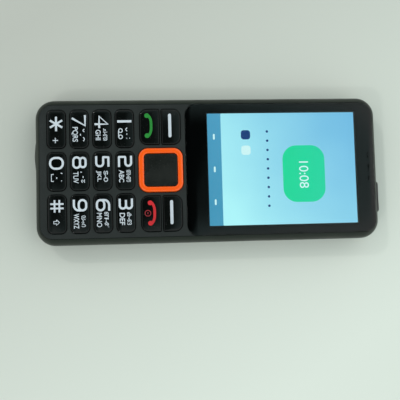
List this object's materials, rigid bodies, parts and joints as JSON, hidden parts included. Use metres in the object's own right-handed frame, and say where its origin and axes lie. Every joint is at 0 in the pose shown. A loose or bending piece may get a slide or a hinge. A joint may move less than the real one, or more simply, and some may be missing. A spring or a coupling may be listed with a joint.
{
  "type": "feature phone",
  "caption": "Bar feature phone with a colour display, raised number and function keys, a square navigation ring with an OK key, and a lift-off battery cover.",
  "frame": {"origin": "on the rear rest face, under the middle of the body's footprint", "axes": "+Y to the phone's top end, +X to its right side, +Z out of the display"},
  "size_m": [0.0554, 0.1331, 0.014],
  "materials": {
    "housing_plastic": "satin dark grey moulding",
    "cover_plastic": "fine textured dark grey moulding",
    "plate_plastic": "matte dark grey",
    "lens_clear": "clear, polished",
    "border_print": "printed black",
    "display_glass": "lit display",
    "diffuser_plastic": "white diffuser",
    "steel": "plain pressed steel",
    "flex_film": "amber film",
    "black_plastic": "matte black",
    "mesh_metal": "black woven mesh",
    "silicone": "translucent silicone",
    "board": "green solder mask",
    "battery_wrap": "plain film wrap",
    "gold_contacts": "plated",
    "key_gloss": "polished black",
    "ok_gloss": "semi-gloss dark grey",
    "ring_orange": "glossy orange",
    "torch_window": "smoked window",
    "torch_lamps": "lamp package",
    "camera_glass": "dark window"
  },
  "bodies": {
    "phone": {"front_housing": "housing_plastic", "face_plate": "plate_plastic", "rear_housing": "housing_plastic", "display_lens": "lens_clear", "lens_border": "border_print", "lcd_glass": "display_glass", "lcd_backlight": "diffuser_plastic", "lcd_frame": "steel", "lcd_flex": "flex_film", "earpiece": "black_plastic", "earpiece_mesh": "mesh_metal", "keypad_mat": "silicone", "dome_sheet": "flex_film", "metal_domes": "steel", "main_board": "board", "shield_cans": "steel", "sim_sockets": "steel", "memory_card_socket": "steel", "battery": "battery_wrap", "contact_block": "black_plastic", "contact_springs": "gold_contacts", "usb_socket": "steel", "usb_tongue": "black_plastic", "audio_jack": "black_plastic", "loudspeaker": "black_plastic", "speaker_mesh": "mesh_metal", "microphone": "black_plastic", "vibration_motor": "steel", "camera_module": "black_plastic", "camera_window": "camera_glass", "torch_leds": "torch_lamps", "torch_lens": "torch_window", "antenna": "flex_film", "housing_screws": "steel"},
    "battery_cover": {"battery_cover": "cover_plastic"},
    "nav_rocker": {"nav_rocker_pad": "silicone"},
    "nav_ring": {"nav_ring": "ring_orange"},
    "motor_weight": {"motor_weight": "steel"},
    "key_1": {"key_1": "key_gloss"},
    "key_2": {"key_2": "key_gloss"},
    "key_3": {"key_3": "key_gloss"},
    "key_4": {"key_4": "key_gloss"},
    "key_5": {"key_5": "key_gloss"},
    "key_6": {"key_6": "key_gloss"},
    "key_7": {"key_7": "key_gloss"},
    "key_8": {"key_8": "key_gloss"},
    "key_9": {"key_9": "key_gloss"},
    "key_star": {"key_star": "key_gloss"},
    "key_0": {"key_0": "key_gloss"},
    "key_hash": {"key_hash": "key_gloss"},
    "soft_key_left": {"soft_key_left": "key_gloss"},
    "soft_key_right": {"soft_key_right": "key_gloss"},
    "call_key": {"call_key": "key_gloss"},
    "end_key": {"end_key": "key_gloss"},
    "ok_key": {"ok_key": "ok_gloss"}
  },
  "joints": [
    {"name": "cover_lift", "type": "slide", "parent": "phone", "child": "battery_cover", "axis": [0, 0, -1], "range_m": [0, 0.015]},
    {"name": "nav_tilt_up_down", "type": "hinge", "parent": "phone", "child": "nav_rocker", "pos_m": [0, -0.01875, 0.0122], "axis": [1, 0, 0], "range_deg": [-1.8, 1.8], "stiffness_Nm_per_rad": 0.35},
    {"name": "nav_tilt_left_right", "type": "hinge", "parent": "nav_rocker", "child": "nav_ring", "pos_m": [0, -0.01875, 0.0122], "axis": [0, 1, 0], "range_deg": [-1.8, 1.8], "stiffness_Nm_per_rad": 0.35},
    {"name": "motor_spin", "type": "hinge", "parent": "phone", "child": "motor_weight", "pos_m": [0.0194, -0.04278, 0.0065], "axis": [0, 1, 0], "continuous": true},
    {"name": "key_1_press", "type": "slide", "parent": "phone", "child": "key_1", "axis": [0, 0, -1], "range_m": [0, 0.0003], "stiffness_N_per_m": 5000},
    {"name": "key_2_press", "type": "slide", "parent": "phone", "child": "key_2", "axis": [0, 0, -1], "range_m": [0, 0.0003], "stiffness_N_per_m": 5000},
    {"name": "key_3_press", "type": "slide", "parent": "phone", "child": "key_3", "axis": [0, 0, -1], "range_m": [0, 0.0003], "stiffness_N_per_m": 5000},
    {"name": "key_4_press", "type": "slide", "parent": "phone", "child": "key_4", "axis": [0, 0, -1], "range_m": [0, 0.0003], "stiffness_N_per_m": 5000},
    {"name": "key_5_press", "type": "slide", "parent": "phone", "child": "key_5", "axis": [0, 0, -1], "range_m": [0, 0.0003], "stiffness_N_per_m": 5000},
    {"name": "key_6_press", "type": "slide", "parent": "phone", "child": "key_6", "axis": [0, 0, -1], "range_m": [0, 0.0003], "stiffness_N_per_m": 5000},
    {"name": "key_7_press", "type": "slide", "parent": "phone", "child": "key_7", "axis": [0, 0, -1], "range_m": [0, 0.0003], "stiffness_N_per_m": 5000},
    {"name": "key_8_press", "type": "slide", "parent": "phone", "child": "key_8", "axis": [0, 0, -1], "range_m": [0, 0.0003], "stiffness_N_per_m": 5000},
    {"name": "key_9_press", "type": "slide", "parent": "phone", "child": "key_9", "axis": [0, 0, -1], "range_m": [0, 0.0003], "stiffness_N_per_m": 5000},
    {"name": "key_star_press", "type": "slide", "parent": "phone", "child": "key_star", "axis": [0, 0, -1], "range_m": [0, 0.0003], "stiffness_N_per_m": 5000},
    {"name": "key_0_press", "type": "slide", "parent": "phone", "child": "key_0", "axis": [0, 0, -1], "range_m": [0, 0.0003], "stiffness_N_per_m": 5000},
    {"name": "key_hash_press", "type": "slide", "parent": "phone", "child": "key_hash", "axis": [0, 0, -1], "range_m": [0, 0.0003], "stiffness_N_per_m": 5000},
    {"name": "soft_key_left_press", "type": "slide", "parent": "phone", "child": "soft_key_left", "axis": [0, 0, -1], "range_m": [0, 0.0003], "stiffness_N_per_m": 5000},
    {"name": "soft_key_right_press", "type": "slide", "parent": "phone", "child": "soft_key_right", "axis": [0, 0, -1], "range_m": [0, 0.0003], "stiffness_N_per_m": 5000},
    {"name": "call_key_press", "type": "slide", "parent": "phone", "child": "call_key", "axis": [0, 0, -1], "range_m": [0, 0.0003], "stiffness_N_per_m": 5000},
    {"name": "end_key_press", "type": "slide", "parent": "phone", "child": "end_key", "axis": [0, 0, -1], "range_m": [0, 0.0003], "stiffness_N_per_m": 5000},
    {"name": "ok_key_press", "type": "slide", "parent": "phone", "child": "ok_key", "axis": [0, 0, -1], "range_m": [0, 0.0003], "stiffness_N_per_m": 5000}
  ]
}
